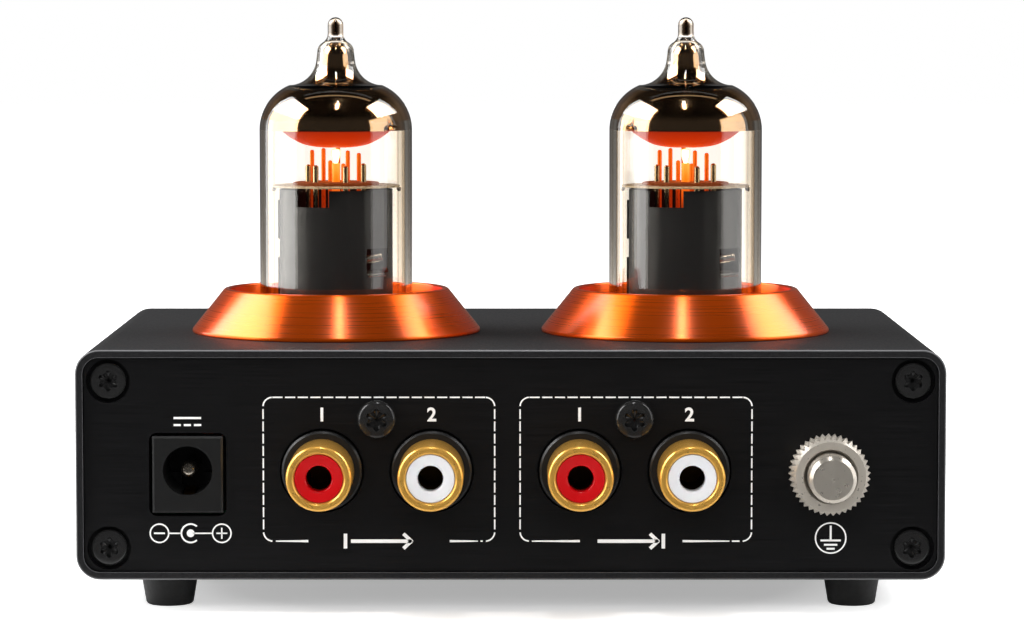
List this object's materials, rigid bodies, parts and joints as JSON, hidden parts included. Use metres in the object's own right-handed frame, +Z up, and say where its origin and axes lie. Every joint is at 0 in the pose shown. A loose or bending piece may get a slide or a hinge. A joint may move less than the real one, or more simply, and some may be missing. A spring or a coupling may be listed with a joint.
{
  "type": "phono preamp",
  "caption": "Small black tube phono preamp: phono jacks, barrel inlet and ground terminal on one end, gain dial and power switch on the other, tubes standing in orange rings on top.",
  "frame": {"origin": "on the table under the middle of the whole object, knob and terminals included", "axes": "+X to the right when facing the connector panel, +Y from the connector panel to the front panel, +Z up"},
  "size_m": [0.111, 0.0934, 0.076],
  "materials": {
    "case_black": "fine blasted, black anodised",
    "panel_black": "brushed, black anodised",
    "screw_black": "black oxide",
    "rubber_black": "matt",
    "gold_plate": "gold plated, polished",
    "insulator_red": "moulded, semi-gloss",
    "insulator_white": "moulded, semi-gloss",
    "moulded_black": "moulded",
    "contact_brass": "bright",
    "turned_nickel": "turned, nickel plated",
    "ring_orange": "turned, orange anodised",
    "socket_ceramic": "moulded, ceramic filled",
    "tube_glass": "clear",
    "tube_nickel": "bright nickel wire",
    "mica": "translucent sheet",
    "anode_grey": "carbonised, matt charcoal",
    "heater_glow": "glowing",
    "getter_metal": "smoky mirror",
    "board_green": "solder resist",
    "capacitor_sleeve": "shrink sleeve",
    "knob_black": "turned, black anodised",
    "switch_metal": "plated",
    "switch_chrome": "polished",
    "led_lens": "clear lens"
  },
  "bodies": {
    "chassis": {"case_shell": "case_black", "rear_panel": "panel_black", "front_panel": "panel_black", "panel_screws": "screw_black", "jack_screws": "screw_black", "feet": "rubber_black", "foot_screws": "screw_black", "circuit_board": "board_green", "capacitors": "capacitor_sleeve", "amplifier_chips": "moulded_black", "output_jack_body": "moulded_black", "output_right_shell": "gold_plate", "output_right_insulator": "insulator_red", "output_right_contact": "contact_brass", "output_left_shell": "gold_plate", "output_left_insulator": "insulator_white", "output_left_contact": "contact_brass", "input_jack_body": "moulded_black", "input_right_shell": "gold_plate", "input_right_insulator": "insulator_red", "input_right_contact": "contact_brass", "input_left_shell": "gold_plate", "input_left_insulator": "insulator_white", "input_left_contact": "contact_brass", "dc_jack_body": "moulded_black", "dc_jack_pin": "contact_brass", "dc_jack_spring": "contact_brass", "ground_post": "turned_nickel", "ground_lug": "turned_nickel", "ground_lock_nut": "turned_nickel", "left_tube_ring": "ring_orange", "right_tube_ring": "ring_orange", "left_tube_socket": "socket_ceramic", "right_tube_socket": "socket_ceramic", "gain_pot_body": "moulded_black", "gain_pot_nut": "turned_nickel", "toggle_body": "switch_metal", "toggle_nut": "turned_nickel", "power_led": "led_lens"},
    "gain_dial": {"gain_pot_shaft": "turned_nickel", "gain_knob": "knob_black"},
    "power_switch": {"toggle_lever": "switch_chrome"},
    "terminal_washer": {"ground_washer": "turned_nickel"},
    "terminal_nut": {"ground_nut": "turned_nickel"},
    "left_tube": {"left_tube_glass": "tube_glass", "left_tube_pins": "tube_nickel", "left_tube_micas": "mica", "left_tube_anode": "anode_grey", "left_tube_posts": "tube_nickel", "left_tube_cathode": "tube_nickel", "left_tube_heater": "heater_glow", "left_tube_getter": "getter_metal"},
    "right_tube": {"right_tube_glass": "tube_glass", "right_tube_pins": "tube_nickel", "right_tube_micas": "mica", "right_tube_anode": "anode_grey", "right_tube_posts": "tube_nickel", "right_tube_cathode": "tube_nickel", "right_tube_heater": "heater_glow", "right_tube_getter": "getter_metal"}
  },
  "joints": [
    {"name": "gain_turn", "type": "hinge", "parent": "chassis", "child": "gain_dial", "pos_m": [-0.03, 0.0347, 0.01905], "axis": [0, 1, 0], "range_deg": [-150, 150]},
    {"name": "power_toggle", "type": "hinge", "parent": "chassis", "child": "power_switch", "pos_m": [0.034, 0.0352, 0.01905], "axis": [1, 0, 0], "range_deg": [-24, 0]},
    {"name": "washer_slide", "type": "slide", "parent": "chassis", "child": "terminal_washer", "axis": [0, -1, 0], "range_m": [0, 0.003]},
    {"name": "nut_turn", "type": "hinge", "parent": "terminal_washer", "child": "terminal_nut", "pos_m": [0.0403, -0.0379, 0.0183], "axis": [0, -1, 0], "range_deg": [0, 1080]},
    {"name": "left_tube_lift", "type": "slide", "parent": "chassis", "child": "left_tube", "axis": [0, 0, 1], "range_m": [0, 0.015]},
    {"name": "right_tube_lift", "type": "slide", "parent": "chassis", "child": "right_tube", "axis": [0, 0, 1], "range_m": [0, 0.015]}
  ],
  "couplings": [
    {"joint": "nut_turn", "follows": "washer_slide", "rad_per_m": 6283.2}
  ]
}
